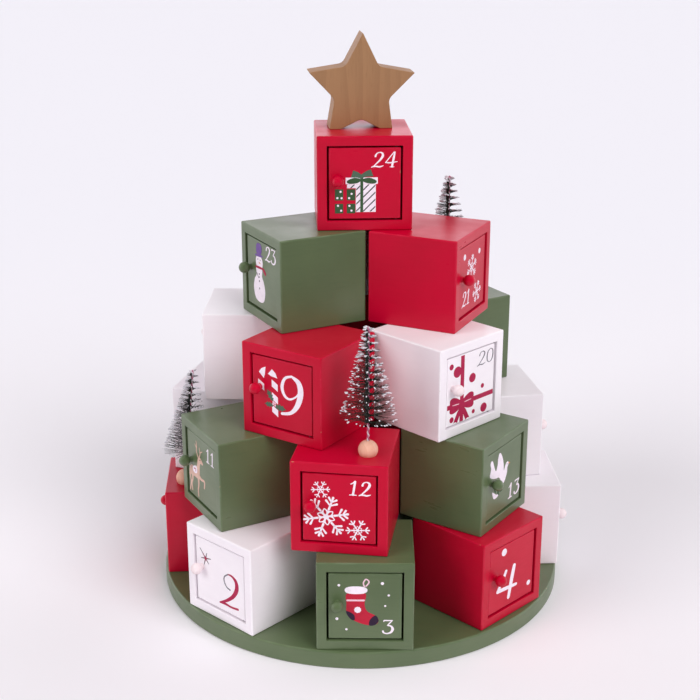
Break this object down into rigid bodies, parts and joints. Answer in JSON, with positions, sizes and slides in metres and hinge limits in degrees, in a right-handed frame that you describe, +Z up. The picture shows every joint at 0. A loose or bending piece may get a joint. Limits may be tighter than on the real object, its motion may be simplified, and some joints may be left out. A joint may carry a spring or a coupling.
{
  "type": "advent calendar",
  "caption": "Tiered stack of painted wooden boxes with hinged doors on a round board, topped by a wooden star, with small brush trees.",
  "frame": {"origin": "middle of the base board on its underside", "axes": "+Z up, front towards -Y, +X to the right seen from the front"},
  "size_m": [0.3139, 0.3111, 0.4082],
  "materials": {
    "red_paint": "red eggshell paint on fibreboard",
    "white_paint": "white eggshell paint on fibreboard",
    "green_paint": "moss green eggshell paint on fibreboard",
    "star_wood": "sanded wood with a light brown stain",
    "ball_wood": "plain turned wood",
    "bristle": "dark bristles with white snow tips",
    "wire": "twisted bright wire",
    "pin_steel": "plain steel pin",
    "print": "flat screen print"
  },
  "bodies": {
    "root": {"base_board": "green_paint", "case_01": "red_paint", "case_02": "white_paint", "case_03": "green_paint", "case_04": "red_paint", "case_05": "white_paint", "case_06": "green_paint", "case_07": "red_paint", "case_08": "white_paint", "case_09": "green_paint", "case_10": "white_paint", "case_11": "green_paint", "case_12": "red_paint", "case_13": "green_paint", "case_14": "white_paint", "case_15": "red_paint", "case_16": "green_paint", "case_17": "red_paint", "case_18": "white_paint", "case_19": "red_paint", "case_20": "white_paint", "case_21": "red_paint", "case_22": "white_paint", "case_23": "green_paint", "case_24": "red_paint", "top_star": "star_wood", "tree_foot_front": "ball_wood", "tree_brush_front": "bristle", "tree_foot_left": "ball_wood", "tree_brush_left": "bristle", "tree_foot_back": "ball_wood", "tree_brush_back": "bristle"},
    "door_01": {"door_01": "red_paint"},
    "door_02": {"door_02": "white_paint"},
    "door_03": {"door_03": "green_paint"},
    "door_04": {"door_04": "red_paint"},
    "door_05": {"door_05": "white_paint"},
    "door_06": {"door_06": "green_paint"},
    "door_07": {"door_07": "red_paint"},
    "door_08": {"door_08": "white_paint"},
    "door_09": {"door_09": "green_paint"},
    "door_10": {"door_10": "white_paint"},
    "door_11": {"door_11": "green_paint"},
    "door_12": {"door_12": "red_paint"},
    "door_13": {"door_13": "green_paint"},
    "door_14": {"door_14": "white_paint"},
    "door_15": {"door_15": "red_paint"},
    "door_16": {"door_16": "green_paint"},
    "door_17": {"door_17": "red_paint"},
    "door_18": {"door_18": "white_paint"},
    "door_19": {"door_19": "red_paint"},
    "door_20": {"door_20": "white_paint"},
    "door_21": {"door_21": "red_paint"},
    "door_22": {"door_22": "white_paint"},
    "door_23": {"door_23": "green_paint"},
    "door_24": {"door_24": "red_paint"}
  },
  "joints": [
    {"name": "hinge_01", "type": "hinge", "parent": "root", "child": "door_01", "pos_m": [-0.14216, -0.02744, 0.046], "axis": [0, 0, 1], "range_deg": [0, 105]},
    {"name": "hinge_02", "type": "hinge", "parent": "root", "child": "door_02", "pos_m": [-0.08145, -0.12026, 0.046], "axis": [0, 0, 1], "range_deg": [0, 105]},
    {"name": "hinge_03", "type": "hinge", "parent": "root", "child": "door_03", "pos_m": [0.02378, -0.14401, 0.046], "axis": [0, 0, 1], "range_deg": [0, 105]},
    {"name": "hinge_04", "type": "hinge", "parent": "root", "child": "door_04", "pos_m": [0.11926, -0.08193, 0.046], "axis": [0, 0, 1], "range_deg": [0, 105]},
    {"name": "hinge_05", "type": "hinge", "parent": "root", "child": "door_05", "pos_m": [0.14369, 0.02936, 0.046], "axis": [0, 0, 1], "range_deg": [0, 105]},
    {"name": "hinge_06", "type": "hinge", "parent": "root", "child": "door_06", "pos_m": [0.08195, 0.11984, 0.046], "axis": [0, 0, 1], "range_deg": [0, 105]},
    {"name": "hinge_07", "type": "hinge", "parent": "root", "child": "door_07", "pos_m": [-0.0268, 0.14269, 0.046], "axis": [0, 0, 1], "range_deg": [0, 105]},
    {"name": "hinge_08", "type": "hinge", "parent": "root", "child": "door_08", "pos_m": [-0.11984, 0.08195, 0.046], "axis": [0, 0, 1], "range_deg": [0, 105]},
    {"name": "hinge_09", "type": "hinge", "parent": "root", "child": "door_09", "pos_m": [-0.07474, 0.11522, 0.112], "axis": [0, 0, 1], "range_deg": [0, 105]},
    {"name": "hinge_10", "type": "hinge", "parent": "root", "child": "door_10", "pos_m": [-0.13625, 0.0165, 0.112], "axis": [0, 0, 1], "range_deg": [0, 105]},
    {"name": "hinge_11", "type": "hinge", "parent": "root", "child": "door_11", "pos_m": [-0.09997, -0.0915, 0.112], "axis": [0, 0, 1], "range_deg": [0, 105]},
    {"name": "hinge_12", "type": "hinge", "parent": "root", "child": "door_12", "pos_m": [0.0064, -0.13366, 0.112], "axis": [0, 0, 1], "range_deg": [0, 105]},
    {"name": "hinge_13", "type": "hinge", "parent": "root", "child": "door_13", "pos_m": [0.10974, -0.06342, 0.112], "axis": [0, 0, 1], "range_deg": [0, 105]},
    {"name": "hinge_14", "type": "hinge", "parent": "root", "child": "door_14", "pos_m": [0.12335, 0.04675, 0.112], "axis": [0, 0, 1], "range_deg": [0, 105]},
    {"name": "hinge_15", "type": "hinge", "parent": "root", "child": "door_15", "pos_m": [0.04079, 0.12869, 0.112], "axis": [0, 0, 1], "range_deg": [0, 105]},
    {"name": "hinge_16", "type": "hinge", "parent": "root", "child": "door_16", "pos_m": [0.08208, 0.07483, 0.178], "axis": [0, 0, 1], "range_deg": [0, 105]},
    {"name": "hinge_17", "type": "hinge", "parent": "root", "child": "door_17", "pos_m": [-0.04237, 0.10743, 0.178], "axis": [0, 0, 1], "range_deg": [0, 105]},
    {"name": "hinge_18", "type": "hinge", "parent": "root", "child": "door_18", "pos_m": [-0.11132, -0.00705, 0.178], "axis": [0, 0, 1], "range_deg": [0, 105]},
    {"name": "hinge_19", "type": "hinge", "parent": "root", "child": "door_19", "pos_m": [-0.03469, -0.10392, 0.178], "axis": [0, 0, 1], "range_deg": [0, 105]},
    {"name": "hinge_20", "type": "hinge", "parent": "root", "child": "door_20", "pos_m": [0.08875, -0.05815, 0.178], "axis": [0, 0, 1], "range_deg": [0, 105]},
    {"name": "hinge_21", "type": "hinge", "parent": "root", "child": "door_21", "pos_m": [0.08457, -0.01285, 0.244], "axis": [0, 0, 1], "range_deg": [0, 105]},
    {"name": "hinge_22", "type": "hinge", "parent": "root", "child": "door_22", "pos_m": [-0.0178, 0.09118, 0.244], "axis": [0, 0, 1], "range_deg": [0, 105]},
    {"name": "hinge_23", "type": "hinge", "parent": "root", "child": "door_23", "pos_m": [-0.05753, -0.05199, 0.244], "axis": [0, 0, 1], "range_deg": [0, 105]},
    {"name": "hinge_24", "type": "hinge", "parent": "root", "child": "door_24", "pos_m": [0.02361, -0.02872, 0.31], "axis": [0, 0, 1], "range_deg": [0, 105]}
  ]
}
